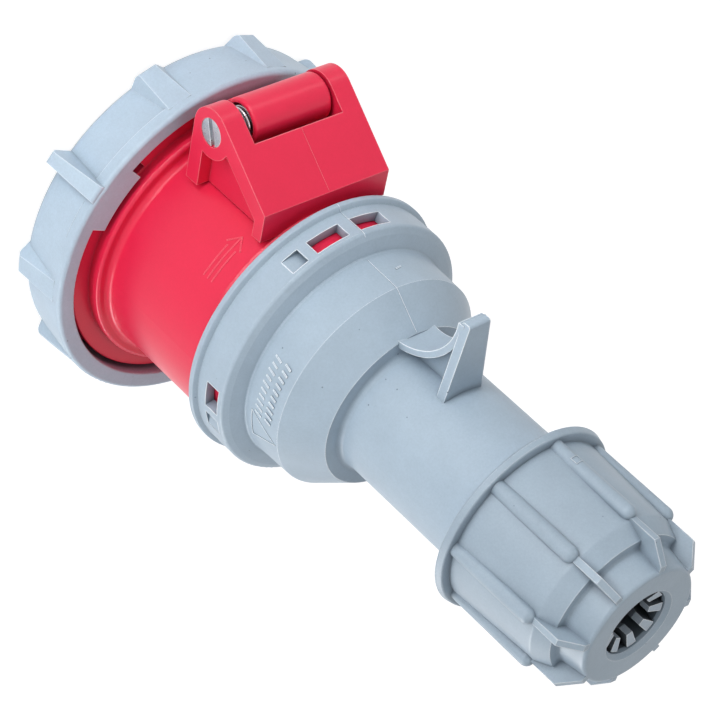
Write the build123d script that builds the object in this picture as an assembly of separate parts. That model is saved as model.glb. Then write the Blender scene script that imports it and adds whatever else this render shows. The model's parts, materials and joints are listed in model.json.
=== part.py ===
from build123d import *
from math import asin, atan2, cos, degrees, hypot, radians, sin, sqrt
import os

# A watertight five-pole cable socket, 16 A, standing on its closed lid.
# Origin: centre of the lid's front face. +Z runs along the axis towards the cable.
# The lid hinge is on the -Y side, and its pin lies along X. Angles round the axis
# are counted from the hinge (-Y) towards +X. All sizes are in millimetres.

# Clearances
slide_gap = 0.3
pin_clearance = 0.06
thread_clearance = 0.1
seat_clearance = 0.05

# Lid and its seal
lid_plate_thickness = 3.0
lid_plate_radius = 35.4
lid_bead_height = 0.7
lid_bead_thickness = 1.2
lid_rim_thickness = 3.0
lid_recess_radius = 26.0
lid_recess_depth = 3.0
lid_groove_radius = 29.0
lid_groove_width = 2.0
lid_groove_depth = 0.6
seal_width = 4.4
seal_thickness = 3.4
seal_seat_depth = 1.0

# Lid hinge arm and knuckle
knuckle_radius = 5.65
knuckle_end = -12.0
knuckle_spring_end = 9.8
knuckle_spring_bore = 4.6
knuckle_spring_depth = 9.0
knuckle_edge_radius = 0.8
arm_inner_gap = 0.4
arm_outer_gap = 0.5

# Bayonet ring on the lid
ring_length = 17.0
ring_web_width = 4.8
ring_front_wall = 2.4
ring_rear_wall = 4.4
ring_nose_radius = 3.9
ring_rear_edge_radius = 1.0
ring_bore_edge_radius = 0.3
ring_web_thickness = 3.0
lug_count = 2
lug_first_angle = 55.5
lug_width_angle = 23.0
lug_height = 3.5
lug_thickness = 1.9
grip_count = 10
grip_height = 2.9
grip_half_width = 2.2
grip_draft = 0.7
grip_start = 1.6
grip_fade_setback = 2.6
grip_nose_radius = 1.2
thumb_grip_height = 6.4
thumb_grip_rear_height = 0.5
thumb_grip_half_width = 1.4
thumb_grip_draft = 0.18
thumb_grip_nose_radius = 1.4
grip_root_depth = 1.2
panel_depth = 0.5
panel_setback = 3.6
panel_corner_radius = 1.6
panel_grip_gap_angle = 2.0

# Front body: plug collar, bayonet flange, tube
plug_bore_radius = 28.5
collar_wall = 5.5
seal_squeeze_gap = 0.1
flange_gap = 1.1
flange_thickness = 2.8
flange_edge_radius = 0.4
flange_setback = 3.2
ridge_height = 0.8
ridge_length = 3.5
ridge_edge_radius = 0.8
tube_blend_radius = 1.5
tube_wall = 3.0
tube_length = 43.5
tube_step = 0.5
key_width = 6.0
key_depth = 1.7
key_length = 30.0
notch_margin_angle = 0.9
notch_swing_angle = 2.8
notch_floor_gap = 1.3
plug_depth = 35.2
ledge_thickness = 4.0

# Hinge bracket on the front body
pin_ring_gap = 4.1
pin_rise = 14.3
boss_radius = 5.9
ear_outer_x = 17.8
ear_thickness = 5.3
bracket_rise = 20.9
bracket_foot_offset = 35.7
bracket_wall = 2.6
leg_thickness = 4.0
pocket_depth = 3.4
pocket_strip = 4.2
pocket_rear_wall = 3.0
boss_pad_extra = 0.5
notch_rise = 8.5
bracket_blend_length = 1.5

# Hinge pin and lid spring
pin_radius = 2.5
pin_head_radius = 3.35
pin_head_length = 4.0
pin_end_wall = 1.5
pin_slot_width = 1.3
pin_slot_depth = 1.1
pin_slot_tilt = 20.7
spring_wire_radius = 0.4
spring_turns = 7
spring_pitch = 1.25

# Contact carrier and contacts
tower_gap = 5.0
tower_setback = 2.0
tower_edge_chamfer = 0.8
cover_flange_thickness = 3.0
cover_hub_thickness = 3.5
cover_hub_inset = 0.9
pole_circle_inset = 7.2
pole_angles = {"l1": 36.0, "l2": -36.0, "l3": -108.0, "n": 108.0, "pe": 180.0}
line_pin_radius = 2.5
earth_pin_radius = 3.5
pin_play = 0.06
contact_wall = 1.45
contact_setback = 2.4
sleeve_play = 0.05
contact_depth = 26.0
contact_shoulder_extra = 0.9
contact_shoulder_length = 2.0
contact_tail_length = 10.0
wire_hole_radius = 1.9
wire_hole_depth = 8.0
contact_slot_width = 0.8
contact_slot_length = 16.0
contact_spring_setback = 3.0
contact_spring_length = 5.0
contact_spring_thickness = 0.45
entry_play = 0.4
terminal_screw_radius = 1.25
terminal_screw_length = 4.6
terminal_head_radius = 1.9
terminal_head_length = 1.6
screw_slot_width = 0.8
screw_end_gap = 1.0
carrier_screw_angles = (72.0, 252.0)
cover_screw_radius = 1.5
cover_screw_length = 14.0
cover_screw_head_radius = 2.8
cover_screw_head_length = 2.0

# Rear housing
housing_overlap = 9.1
housing_bore_clearance = 0.2
housing_lip_height = 1.2
housing_lip_length = 1.4
housing_lip_edge_radius = 0.4
housing_band_wall = 2.4
housing_band_edge_radius = 0.9
housing_rim_inset = 1.7
housing_step_length = 1.2
housing_body_inset = 2.8
housing_body_edge_radius = 0.5
housing_crease_inset = 0.4
housing_body_length = 10.5
housing_cone_length = 8.6
housing_cone_end_radius = 21.4
neck_length = 41.4
neck_bore_radius = 15.2
neck_wall = 2.05
neck_blend_radius = 1.2
housing_wall = 2.2
thread_height = 0.65
thread_length = 18.0
body_seal_thickness = 1.2
body_seal_width = 3.6
window_height = 4.1
window_z_offset = 4.8
window_angles = [(-15.5, -0.6), (5.2, 20.0), (88.4, 100.6)]
pocket_angles = [(24.5, 32.0), (104.5, 112.0)]
blind_pocket_depth = 1.3
twist_lug_count = 3
twist_lug_height = 0.8
twist_lug_length = 1.6
twist_lug_angle = 14.0
twist_range = 30.0
twist_first_angle = 52.0

# Hook on the neck
hook_arc_radius = 14.0
hook_plate_thickness = 1.6
hook_plate_half_width = 5.4
hook_tip_half_width = 2.95
hook_foot_half_width = 5.6
hook_tip_height = 36.6
hook_tip_edge_radius = 0.7
hook_leg_offset = 13.8
hook_arc_drop = 0.9
hook_arc_sink = 0.3
hook_join_drop = 3.2
hook_root_depth = 2.0
hook_leg_thickness = 2.4
hook_web_thickness = 2.2

# Gland nut
nut_start_gap = 1.9
nut_wall = 3.35
nut_flange_height = 2.65
nut_flange_rear_drop = 0.5
nut_flange_thickness = 2.0
nut_flange_edge_radius = 0.4
nut_shoulder_inset = 1.15
nut_shoulder_setback = 11.2
nut_shoulder_edge_radius = 1.5
nut_edge_inset = 2.95
nut_edge_setback = 7.0
nut_nose_base_inset = 5.15
nut_nose_draft = 1.0
nut_nose_edge_radius = 1.0
nut_nose_blend_radius = 0.9
nut_length = 37.2
nut_mouth_radius = 8.3
nut_mouth_flare = 1.0
nut_throat_length = 1.6
nut_cone_gap = 3.0
nut_cone_length = 4.2
nut_rib_count = 8
nut_rib_first_angle = 37.5
nut_rib_radius = 1.9
nut_rib_length = 24.2
nut_rib_height = 1.25
nut_fin_thickness = 1.7
nut_fin_crest_inset = 0.55
nut_fin_knee_setback = 4.3
nut_fin_end_height = 0.2
nut_fin_root_depth = 1.5

# Cable clamp basket and gland seal
clamp_count = 9
clamp_first_angle = 31.8
clamp_gap_angle = 21.5
clamp_tip_outer_radius = 8.1
clamp_tip_inner_radius = 5.1
clamp_tip_length = 2.4
clamp_tip_setback = 1.4
clamp_tip_slant = 0.9
clamp_base_clearance = 0.3
clamp_base_length = 10.0
clamp_shoulder_inset = 1.3
clamp_wall = 3.2
clamp_cone_start = 1.5
clamp_cone_end = 6.2
gland_seal_length = 16.0
gland_seal_bore = 5.2

# Stations along the axis
lid_rim_z = lid_plate_thickness + slide_gap
lid_rear_z = lid_rim_z + lid_rim_thickness
seal_z = lid_rear_z - seal_seat_depth
collar_z = seal_z + seal_thickness + seal_squeeze_gap
flange_z = collar_z + flange_setback
flange_rear_z = flange_z + flange_thickness
ridge_rear_z = flange_rear_z + ridge_length
pin_z = flange_rear_z + pin_rise
bracket_rear_z = pin_z + bracket_rise
notch_z = pin_z + notch_rise
tube_end_z = ridge_rear_z + tube_length
ledge_z = collar_z + plug_depth
ledge_rear_z = ledge_z + ledge_thickness
cover_flange_z = ledge_rear_z + cover_flange_thickness
cover_z = cover_flange_z + cover_hub_thickness
tower_z = collar_z + tower_setback
contact_z = tower_z + contact_setback
shoulder_z = ledge_rear_z - contact_shoulder_length
contact_rear_z = cover_flange_z + contact_tail_length
housing_z = tube_end_z - housing_overlap
housing_floor_z = tube_end_z + body_seal_thickness
housing_step_z = housing_floor_z + housing_step_length
housing_body_z = housing_step_z + housing_step_length
housing_crease_z = housing_body_z + housing_body_length
housing_cone_z = housing_crease_z + housing_cone_length
thread_z = housing_cone_z + neck_length
neck_end_z = thread_z + thread_length
nut_z = thread_z - nut_start_gap
nut_end_z = nut_z + nut_length
nut_flange_z = nut_z + nut_flange_thickness
nut_shoulder_z = nut_end_z - nut_shoulder_setback
nut_edge_z = nut_end_z - nut_edge_setback

# Radii that follow
collar_radius = plug_bore_radius + collar_wall
ridge_radius = collar_radius + ridge_height
tube_radius = plug_bore_radius + tube_wall
tube_rear_radius = tube_radius - tube_step
ring_bore_radius = lid_plate_radius + ring_web_width
pin_offset = ring_bore_radius + pin_ring_gap
flange_radius = ring_bore_radius - flange_gap
rim_radius = ring_bore_radius - slide_gap
ring_front_radius = ring_bore_radius + ring_front_wall
ring_rear_radius = ring_bore_radius + ring_rear_wall
lug_inner_radius = ring_bore_radius - lug_height
notch_floor_radius = lug_inner_radius - notch_floor_gap
arm_inner_radius = ridge_radius + arm_inner_gap
arm_outer_radius = ring_bore_radius - arm_outer_gap
tower_radius = plug_bore_radius - tower_gap
pole_circle_radius = tower_radius - pole_circle_inset
housing_bore_radius = tube_rear_radius + housing_bore_clearance
housing_band_radius = housing_bore_radius + housing_band_wall
housing_lip_radius = housing_band_radius + housing_lip_height
housing_rim_radius = housing_band_radius - housing_rim_inset
housing_body_radius = housing_bore_radius - housing_body_inset
housing_crease_radius = housing_body_radius - housing_crease_inset
neck_radius = neck_bore_radius + neck_wall
thread_radius = neck_radius + thread_height
nut_body_radius = thread_radius + thread_clearance + nut_wall
nut_flange_radius = nut_body_radius + nut_flange_height
nut_shoulder_radius = nut_body_radius - nut_shoulder_inset
nut_edge_radius = nut_body_radius - nut_edge_inset
nut_nose_base_radius = nut_body_radius - nut_nose_base_inset
nut_nose_radius = nut_nose_base_radius - nut_nose_draft
clamp_base_radius = neck_bore_radius - clamp_base_clearance
clamp_shoulder_radius = clamp_base_radius - clamp_shoulder_inset
ear_inner_x = ear_outer_x - ear_thickness


def profile_face(points, radii=None):
    """Face in the XZ plane from (radius, z) points, with optional corner radii."""
    corners = [(r, 0, z) for r, z in points]
    if radii is None:
        return make_face(Polyline(*corners, close=True))
    return make_face(FilletPolyline(*corners, radius=radii, close=True))


def turned(points, radii=None):
    """Solid of revolution about the axis."""
    return revolve(profile_face(points, radii), Axis.Z, 360)


def band(inner, outer, low, high):
    """Plain ring or disc between two radii and two heights."""
    if inner <= 0:
        return Pos(0, 0, low) * Cylinder(outer, high - low, align=(Align.CENTER, Align.CENTER, Align.MIN))
    return turned([(inner, low), (outer, low), (outer, high), (inner, high)])


def sector(points, start, end):
    """Part of a revolution between two angles counted from the hinge side."""
    swept = revolve(profile_face(points), Axis.Z, end - start)
    return Rot(0, 0, start - 90) * swept


def band_sector(inner, outer, low, high, start, end):
    """Part of a plain ring between two angles counted from the hinge side."""
    return sector([(inner, low), (outer, low), (outer, high), (inner, high)], start, end)


def polar(radius, angle):
    """Point at a radius and an angle counted from the hinge side."""
    return radius * sin(radians(angle)), -radius * cos(radians(angle))


def side_plate(points, x_low, x_high, radii=None):
    """Plate with a side outline of (y, z) points, between two values of x."""
    corners = [(x_low, y, z) for y, z in points]
    if radii is None:
        outline = make_face(Polyline(*corners, close=True))
    else:
        outline = make_face(FilletPolyline(*corners, radius=radii, close=True))
    return extrude(outline, amount=x_high - x_low, dir=(1, 0, 0))


def cross_rod(radius, x_low, x_high, y, z):
    """Cylinder along X."""
    rod = Cylinder(radius, x_high - x_low, align=(Align.CENTER, Align.CENTER, Align.MIN))
    return Pos(x_low, y, z) * Rot(0, 90, 0) * rod


def rounded_cross_rod(radius, x_low, x_high, y, z, edge_radius):
    """Cylinder along X with rounded ends."""
    length = x_high - x_low
    rod = turned([(0, 0), (radius, 0), (radius, length), (0, length)], [0, edge_radius, edge_radius, 0])
    return Pos(x_low, y, z) * Rot(0, 90, 0) * rod


def bracket_tangent():
    """Direction and touch point of the sloping rear face on the pin boss."""
    dy = -pin_offset + bracket_foot_offset
    dz = pin_z - bracket_rear_z
    distance = hypot(dy, dz)
    slope = atan2(dz, dy) - asin(boss_radius / distance)
    reach = sqrt(distance ** 2 - boss_radius ** 2)
    touch_y = -bracket_foot_offset + reach * cos(slope)
    touch_z = bracket_rear_z + reach * sin(slope)
    return slope, touch_y, touch_z


def make_front_body():
    """Red front body: plug collar, bayonet flange, tube, hinge bracket."""
    body = turned([
        (plug_bore_radius, collar_z),
        (collar_radius, collar_z),
        (collar_radius, flange_z),
        (flange_radius, flange_z),
        (flange_radius, flange_rear_z),
        (ridge_radius, flange_rear_z),
        (ridge_radius, ridge_rear_z),
        (tube_radius, ridge_rear_z),
        (tube_radius, bracket_rear_z),
        (tube_rear_radius, bracket_rear_z + bracket_blend_length),
        (tube_rear_radius, tube_end_z),
        (plug_bore_radius, tube_end_z),
    ], [0, 0, 0, flange_edge_radius, flange_edge_radius, 0, ridge_edge_radius, tube_blend_radius,
        0, 0, 0, 0])
    ledge_bore = tower_radius + slide_gap
    body += band(ledge_bore, plug_bore_radius + 1, ledge_z, ledge_rear_z)
    body -= Pos(0, plug_bore_radius, collar_z + key_length / 2 - 0.01) * Box(
        key_width, 2 * key_depth, key_length)
    body += make_bracket()
    for index in range(lug_count):
        middle = lug_first_angle + index * 360 / lug_count
        half = lug_width_angle / 2 + notch_margin_angle
        toward_hinge = -notch_swing_angle if middle < 180 else notch_swing_angle
        start = middle - half + min(0, toward_hinge)
        end = middle + half + max(0, toward_hinge)
        body -= band_sector(notch_floor_radius, flange_radius + 1, flange_z - 1,
                            flange_rear_z + 0.001, start, end)
    arm_room = side_plate([(0, collar_z - 1), (-pin_offset, collar_z - 1),
                           (-pin_offset, ridge_rear_z + 1), (0, ridge_rear_z + 1)],
                          knuckle_end - 2 * slide_gap, knuckle_spring_end + 2 * slide_gap)
    body -= arm_room - band(0, arm_inner_radius - slide_gap, collar_z - 2, ridge_rear_z + 2)
    for index in range(twist_lug_count):
        start = twist_first_angle + index * 360 / twist_lug_count
        body += band_sector(tube_rear_radius - tube_wall / 2, tube_rear_radius + twist_lug_height,
                            twist_track_z() + slide_gap, twist_track_z() + slide_gap + twist_lug_length,
                            start, start + twist_lug_angle)
    for angle in carrier_screw_angles:
        body -= Pos(*polar(ledge_screw_circle(), angle), ledge_rear_z) * Cylinder(
            terminal_screw_radius, 2 * (ledge_thickness - screw_end_gap))
    return body


def twist_track_z():
    """Front edge of the twist track inside the housing."""
    return housing_z + housing_lip_length + slide_gap


def ledge_screw_circle():
    """Radius on which the carrier's screws stand, in the middle of the ledge."""
    return (tower_radius + slide_gap + plug_bore_radius) / 2


def make_bracket():
    """Hinge bracket: two ears with side pockets, a sloping cover and a rear wall."""
    slope, touch_y, touch_z = bracket_tangent()
    front_z = pin_z - boss_radius
    root = -tube_radius + tube_wall
    outline = [(-pin_offset, front_z), (root, front_z), (root, bracket_rear_z),
               (-bracket_foot_offset, bracket_rear_z), (touch_y, touch_z), (-pin_offset, pin_z)]
    block = side_plate(outline, -ear_outer_x, ear_outer_x)
    block += cross_rod(boss_radius, -ear_outer_x, ear_outer_x, -pin_offset, pin_z)
    block -= make_bracket_cavity(slope)
    for side in (-1, 1):
        block -= make_ear_pocket(side, slope)
    block -= cross_rod(pin_radius + seat_clearance, -ear_outer_x + pin_end_wall, ear_outer_x,
                       -pin_offset, pin_z)
    block -= cross_rod(pin_head_radius + seat_clearance, ear_outer_x - pin_head_length,
                       ear_outer_x + 1, -pin_offset, pin_z)
    inside = band(0, plug_bore_radius + tube_wall / 2, 0, tube_end_z)
    return block - inside


def make_bracket_cavity(slope):
    """Room between the ears for the knuckle, and the hollow under the cover."""
    front_z = pin_z - boss_radius
    far = pin_offset + 3 * boss_radius
    notch = side_plate([(-far, front_z - 1), (0, front_z - 1), (0, notch_z), (-far, notch_z)],
                       -ear_inner_x, ear_inner_x)
    rise_y = cos(slope)
    rise_z = sin(slope)
    inner_y = -bracket_foot_offset + bracket_wall * abs(rise_z)
    inner_z = bracket_rear_z - pocket_rear_wall
    run = (inner_z - notch_z) / abs(rise_z) + 1
    hollow = side_plate([(inner_y, inner_z), (0, inner_z), (0, notch_z - 1),
                         (inner_y + run * rise_y, inner_z + run * rise_z)],
                        -ear_inner_x, ear_inner_x)
    return notch + hollow


def make_ear_pocket(side, slope):
    """Triangular pocket in the outer side of one ear."""
    front_z = pin_z - boss_radius + leg_thickness
    rear_z = bracket_rear_z - pocket_rear_wall
    normal_y = abs(sin(slope))
    normal_z = -abs(cos(slope))
    foot_y = -bracket_foot_offset + pocket_strip * normal_y
    foot_z = bracket_rear_z + pocket_strip * normal_z
    step_rear = (rear_z - foot_z) / sin(slope)
    step_front = (front_z - foot_z) / sin(slope)
    low = (foot_y + step_rear * cos(slope), rear_z)
    high = (foot_y + step_front * cos(slope), front_z)
    x_inner = side * (ear_outer_x - pocket_depth)
    x_outer = side * (ear_outer_x + 1)
    x_low = min(x_inner, x_outer)
    x_high = max(x_inner, x_outer)
    pocket = side_plate([high, (0, front_z), (0, rear_z), low], x_low, x_high)
    pocket -= cross_rod(boss_radius + boss_pad_extra, x_low, x_high, -pin_offset, pin_z)
    return pocket


def make_lid():
    """Red lid: flat face, rim inside the ring, hinge arm and knuckle."""
    lid = turned([
        (0, 0),
        (lid_plate_radius + lid_bead_height, 0),
        (lid_plate_radius + lid_bead_height, lid_bead_thickness),
        (lid_plate_radius, lid_bead_thickness),
        (lid_plate_radius, lid_rim_z),
        (rim_radius, lid_rim_z),
        (rim_radius, lid_rear_z),
        (lid_recess_radius, lid_rear_z),
        (lid_recess_radius, lid_rear_z - lid_recess_depth),
        (0, lid_rear_z - lid_recess_depth),
    ])
    lid -= band(lid_groove_radius, lid_groove_radius + lid_groove_width, -1, lid_groove_depth)
    seal_inner = seal_middle_radius() - seal_width / 2 - seat_clearance
    seal_outer = seal_middle_radius() + seal_width / 2 + seat_clearance
    lid -= band(seal_inner, seal_outer, seal_z, lid_rear_z + 1)
    front_z = pin_z - boss_radius
    arm = band(arm_inner_radius, arm_outer_radius, lid_rear_z - 0.5, front_z - 2)
    web = side_plate(arm_outline(), knuckle_end, knuckle_spring_end)
    arm += web - band(arm_outer_radius, 2 * rim_radius, 0, over_ring_z())
    arm &= side_plate([(-pin_offset - knuckle_radius, 0), (-arm_inner_radius / 2, 0),
                       (-arm_inner_radius / 2, pin_z), (-pin_offset - knuckle_radius, pin_z)],
                      knuckle_end, knuckle_spring_end)
    arm += rounded_cross_rod(knuckle_radius, knuckle_end, knuckle_spring_end, -pin_offset, pin_z,
                             knuckle_edge_radius)
    arm -= cross_rod(pin_radius + pin_clearance, knuckle_end - 1, knuckle_spring_end + 1,
                     -pin_offset, pin_z)
    arm -= cross_rod(knuckle_spring_bore, knuckle_spring_end - knuckle_spring_depth,
                     knuckle_spring_end + 1, -pin_offset, pin_z)
    return lid + arm


def over_ring_z():
    """Height at which the hinge arm passes over the ring's rear edge."""
    return ring_length + 3 * slide_gap


def arm_outline():
    """Side outline of the web from the arm up to the knuckle."""
    over_ring = over_ring_z()
    return [
        (-arm_outer_radius, over_ring - 4),
        (-arm_outer_radius, over_ring),
        (-pin_offset - knuckle_radius * 0.62, pin_z - knuckle_radius * 0.78),
        (-pin_offset, pin_z),
        (-pin_offset + knuckle_radius * 0.9, pin_z - knuckle_radius * 0.3),
        (-arm_inner_radius, over_ring + 1.2),
        (-arm_inner_radius, over_ring - 4),
    ]


def seal_middle_radius():
    """Middle of the collar's front edge, on which the seal presses."""
    return plug_bore_radius + collar_wall / 2


def make_lid_seal():
    """Flat rubber ring in the lid."""
    middle = seal_middle_radius()
    return band(middle - seal_width / 2, middle + seal_width / 2, seal_z, seal_z + seal_thickness)


def ring_surface(z):
    """Outer radius of the ring, which widens towards the rear."""
    return ring_front_radius + z / ring_length * (ring_rear_radius - ring_front_radius)


def make_lid_ring():
    """Grey bayonet ring with grips outside and lugs inside."""
    bead_radius = lid_plate_radius + lid_bead_height + slide_gap
    pocket_z = lid_bead_thickness + slide_gap
    ring = turned([
        (bead_radius, 0),
        (ring_front_radius, 0),
        (ring_rear_radius, ring_length),
        (ring_bore_radius, ring_length),
        (ring_bore_radius, ring_web_thickness),
        (lid_plate_radius + slide_gap, ring_web_thickness),
        (lid_plate_radius + slide_gap, pocket_z),
        (bead_radius, pocket_z),
    ], [0, ring_nose_radius, ring_rear_edge_radius, ring_bore_edge_radius, 0, 0, 0, 0])
    pitch = 360 / grip_count
    per_lug = grip_count // lug_count
    for index in range(lug_count):
        middle = lug_first_angle + index * 360 / lug_count
        ring -= make_panel(middle - pitch, middle - panel_grip_gap_angle)
        ring += make_thumb_grip(middle)
        ring += band_sector(lug_inner_radius, ring_bore_radius + ring_front_wall / 2,
                            ring_length - lug_thickness, ring_length,
                            middle - lug_width_angle / 2, middle + lug_width_angle / 2)
    for index in range(grip_count):
        if index % per_lug > 0:
            ring += make_grip(lug_first_angle + index * pitch)
    return ring


def make_bar(middle, outline, radii, half_width, draft):
    """Bar on the ring from a side outline of (radius, z) points, wider towards its root."""
    crest = max(radius for radius, z in outline)
    root = min(radius for radius, z in outline)
    root_half = half_width + draft * (crest - root)
    bar = side_plate([(-radius, z) for radius, z in outline], -root_half, root_half, radii)
    section = make_face(Polyline(
        (-half_width, -crest, -1), (half_width, -crest, -1),
        (root_half, -root, -1), (-root_half, -root, -1), close=True))
    return Rot(0, 0, middle) * (bar & extrude(section, amount=ring_length + 2, dir=(0, 0, 1)))


def make_grip(middle):
    """Short grip rib that fades into the ring towards the rear."""
    crest = ring_front_radius + grip_height
    root = ring_front_radius - grip_root_depth
    fade_z = ring_length - grip_fade_setback
    outline = [
        (root, grip_start),
        (crest, grip_start),
        (ring_surface(fade_z), fade_z),
        (root, fade_z),
    ]
    return make_bar(middle, outline, [0, grip_nose_radius, 0, 0], grip_half_width, grip_draft)


def make_thumb_grip(middle):
    """Tall grip over each lug, as long as the ring."""
    crest = ring_front_radius + thumb_grip_height
    root = ring_front_radius - grip_root_depth
    outline = [
        (root, grip_start),
        (crest, grip_start + slide_gap),
        (ring_rear_radius + thumb_grip_rear_height, ring_length - slide_gap),
        (root, ring_length - slide_gap),
    ]
    return make_bar(middle, outline, [0, thumb_grip_nose_radius, ring_rear_edge_radius, 0],
                    thumb_grip_half_width, thumb_grip_draft)


def make_panel(start, end):
    """Shallow panel with rounded corners, cut into the ring beside a thumb grip."""
    low = -ring_nose_radius
    high = ring_length - panel_setback
    beyond = 2 * ring_rear_radius
    width = beyond * sin(radians((end - start) / 2))
    outline = Pos(0, 0, (low + high) / 2) * Rot(90, 0, 0) * RectangleRounded(
        width, high - low, panel_corner_radius)
    window = Rot(0, 0, (start + end) / 2) * extrude(outline, amount=beyond, dir=(0, -1, 0))
    floor = turned([
        (ring_surface(low) - panel_depth, low),
        (beyond, low),
        (beyond, ring_length),
        (ring_surface(ring_length) - panel_depth, ring_length),
    ])
    return floor & window


def make_hinge_pin():
    """Steel pin with a slotted head in the +X ear."""
    pin = cross_rod(pin_radius, -ear_outer_x + pin_end_wall + seat_clearance, ear_outer_x - 1,
                    -pin_offset, pin_z)
    head_end = ear_outer_x - 0.1
    pin += cross_rod(pin_head_radius, ear_outer_x - pin_head_length + seat_clearance, head_end,
                     -pin_offset, pin_z)
    slot = Box(2 * pin_slot_depth, 3 * pin_head_radius, pin_slot_width)
    return pin - Pos(head_end, -pin_offset, pin_z) * Rot(pin_slot_tilt, 0, 0) * slot


def make_lid_spring():
    """Torsion spring round the pin, half inside the knuckle."""
    mean = (pin_radius + knuckle_spring_bore) / 2
    length = spring_turns * spring_pitch
    start = ear_inner_x - slide_gap - spring_wire_radius - length
    path = Helix(spring_pitch, length, mean)
    section = Plane(origin=path @ 0, z_dir=path % 0) * Circle(spring_wire_radius)
    coil = sweep(section, path)
    return Pos(start, -pin_offset, pin_z) * Rot(0, 90, 0) * coil


def contact_sizes(name):
    """Outer radius and bore radius of one contact sleeve."""
    pin = earth_pin_radius if name == "pe" else line_pin_radius
    bore = pin + pin_play
    return bore + contact_wall, bore


def make_contact_sleeve(name, angle):
    """Brass sleeve: split bore for the plug's pin, shoulder, terminal tail."""
    outer, bore = contact_sizes(name)
    sleeve = band(0, outer, contact_z, contact_rear_z)
    sleeve += band(0, outer + contact_shoulder_extra, shoulder_z, ledge_rear_z)
    sleeve -= band(0, bore, contact_z - 1, contact_z + contact_depth)
    sleeve -= band(0, wire_hole_radius, contact_rear_z - wire_hole_depth, contact_rear_z + 1)
    sleeve -= Pos(0, 0, contact_z) * Box(
        contact_slot_width, 4 * outer, 2 * contact_slot_length)
    screw_z = contact_rear_z - wire_hole_depth / 2
    sleeve -= Pos(0, -outer, screw_z) * Rot(90, 0, 0) * Cylinder(
        terminal_screw_radius + seat_clearance, 2 * outer - wire_hole_radius)
    return Pos(*polar(pole_circle_radius, angle), 0) * Rot(0, 0, angle) * sleeve


def make_contact_spring(name, angle):
    """Steel ring that keeps the split end of a sleeve closed on the pin."""
    outer, bore = contact_sizes(name)
    start = contact_z + contact_spring_setback
    ring = band(outer + seat_clearance, outer + contact_spring_thickness, start,
                start + contact_spring_length)
    ring -= Pos(outer, 0, start + contact_spring_length / 2) * Box(
        2 * outer, 2 * contact_slot_width, 2 * contact_spring_length)
    return Pos(*polar(pole_circle_radius, angle), 0) * ring


def make_terminal_screws():
    """One clamping screw in the tail of each contact."""
    screws = []
    for name, angle in pole_angles.items():
        outer, bore = contact_sizes(name)
        screw_z = contact_rear_z - wire_hole_depth / 2
        start = wire_hole_radius * 0.4
        shank = Cylinder(terminal_screw_radius, terminal_screw_length, align=(
            Align.CENTER, Align.CENTER, Align.MIN))
        head = Pos(0, 0, terminal_screw_length) * Cylinder(
            terminal_head_radius, terminal_head_length, align=(Align.CENTER, Align.CENTER, Align.MIN))
        head -= Pos(0, 0, terminal_screw_length + terminal_head_length) * Box(
            screw_slot_width, 3 * terminal_head_radius, terminal_head_length)
        reach = outer + seat_clearance - terminal_screw_length
        screw = Pos(0, -max(start, reach), screw_z) * Rot(90, 0, 0) * (shank + head)
        screws.append(Pos(*polar(pole_circle_radius, angle), 0) * Rot(0, 0, angle) * screw)
    return screws


def make_carrier_face():
    """Front plate of the tower with a pin hole before each contact."""
    rear_z = contact_z - sleeve_play
    face = turned([
        (0, tower_z),
        (tower_radius - tower_edge_chamfer, tower_z),
        (tower_radius, tower_z + tower_edge_chamfer),
        (tower_radius, rear_z),
        (0, rear_z),
    ])
    for name, angle in pole_angles.items():
        outer, bore = contact_sizes(name)
        face -= Pos(*polar(pole_circle_radius, angle), 0) * band(
            0, bore + entry_play, tower_z - 1, rear_z + 1)
    return face


def make_contact_carrier():
    """Insulating tower behind the face, with a straight hole for each contact."""
    front_z = contact_z - sleeve_play
    carrier = band(0, tower_radius, front_z, ledge_rear_z)
    for name, angle in pole_angles.items():
        outer, bore = contact_sizes(name)
        room = outer + contact_shoulder_extra + sleeve_play
        carrier -= Pos(*polar(pole_circle_radius, angle), 0) * band(
            0, room, front_z - 1, ledge_rear_z + 1)
    return carrier - band(0, cover_screw_radius + seat_clearance, cover_flange_z - cover_screw_length,
                          ledge_rear_z + 1)


def make_carrier_cover():
    """Flanged plate that holds the contacts in the carrier and is screwed to the ledge."""
    hub_radius = tower_radius - cover_hub_inset
    flange_edge = plug_bore_radius - slide_gap
    cover = band(0, flange_edge, ledge_rear_z, cover_flange_z)
    cover += band(0, hub_radius, ledge_rear_z, cover_z)
    for name, angle in pole_angles.items():
        outer, bore = contact_sizes(name)
        cover -= Pos(*polar(pole_circle_radius, angle), 0) * band(
            0, outer + sleeve_play, ledge_rear_z - 1, cover_z + 1)
    for angle in carrier_screw_angles:
        cover -= Pos(*polar(ledge_screw_circle(), angle), cover_flange_z) * Cylinder(
            terminal_screw_radius + seat_clearance, 4 * cover_flange_thickness)
    return cover - band(0, cover_screw_radius + seat_clearance, ledge_rear_z - 1, cover_z + 1)


def headed_screw(radius, length, head_radius, head_length):
    """Slotted screw along +Z with its head resting at z = 0."""
    screw = Pos(0, 0, -length) * Cylinder(radius, length, align=(Align.CENTER, Align.CENTER, Align.MIN))
    screw += Cylinder(head_radius, head_length, align=(Align.CENTER, Align.CENTER, Align.MIN))
    return screw - Pos(0, 0, head_length) * Box(3 * head_radius, screw_slot_width, head_length)


def make_cover_screw():
    """Screw through the middle of the cover into the carrier."""
    screw = headed_screw(cover_screw_radius, cover_screw_length - screw_end_gap + cover_hub_thickness,
                         cover_screw_head_radius, cover_screw_head_length)
    return Pos(0, 0, cover_z) * screw


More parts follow.
